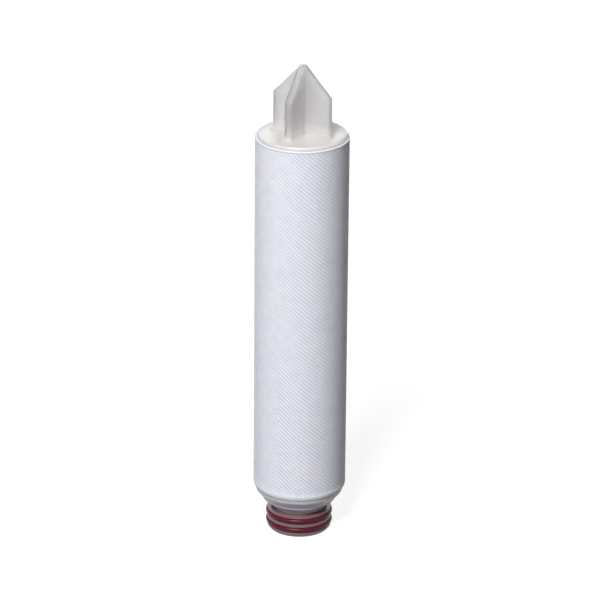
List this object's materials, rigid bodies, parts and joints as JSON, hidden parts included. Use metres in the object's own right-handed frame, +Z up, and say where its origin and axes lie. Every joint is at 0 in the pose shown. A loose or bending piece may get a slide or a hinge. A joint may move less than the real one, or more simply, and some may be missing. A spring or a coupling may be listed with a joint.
{
  "type": "depth filter cartridge",
  "caption": "Cylindrical depth filter cartridge: netted media tube with a closed cap carrying a cross-shaped locating fin, and an open plug sealed by O-rings.",
  "frame": {"origin": "centre of the plug's bottom face, on the cartridge's axis", "axes": "+Z up along the cartridge's axis, from the plug towards the fin"},
  "size_m": [0.062, 0.062, 0.3283],
  "materials": {
    "natural_polypropylene": "translucent natural polypropylene, injection moulded, satin",
    "netting_polypropylene": "white extruded polypropylene netting, satin strands",
    "nonwoven_polypropylene": "white spunbond and meltblown polypropylene fibre, matt",
    "seal_rubber": "dark red moulded elastomer with a soft gloss"
  },
  "bodies": {
    "root": {"fin_end_cap": "natural_polypropylene", "netting_sleeve": "netting_polypropylene", "outer_wrap": "nonwoven_polypropylene", "prefilter_media": "nonwoven_polypropylene", "final_media": "nonwoven_polypropylene", "support_core": "natural_polypropylene", "open_end_cap": "natural_polypropylene", "o_ring_upper": "seal_rubber", "o_ring_lower": "seal_rubber"}
  },
  "joints": []
}
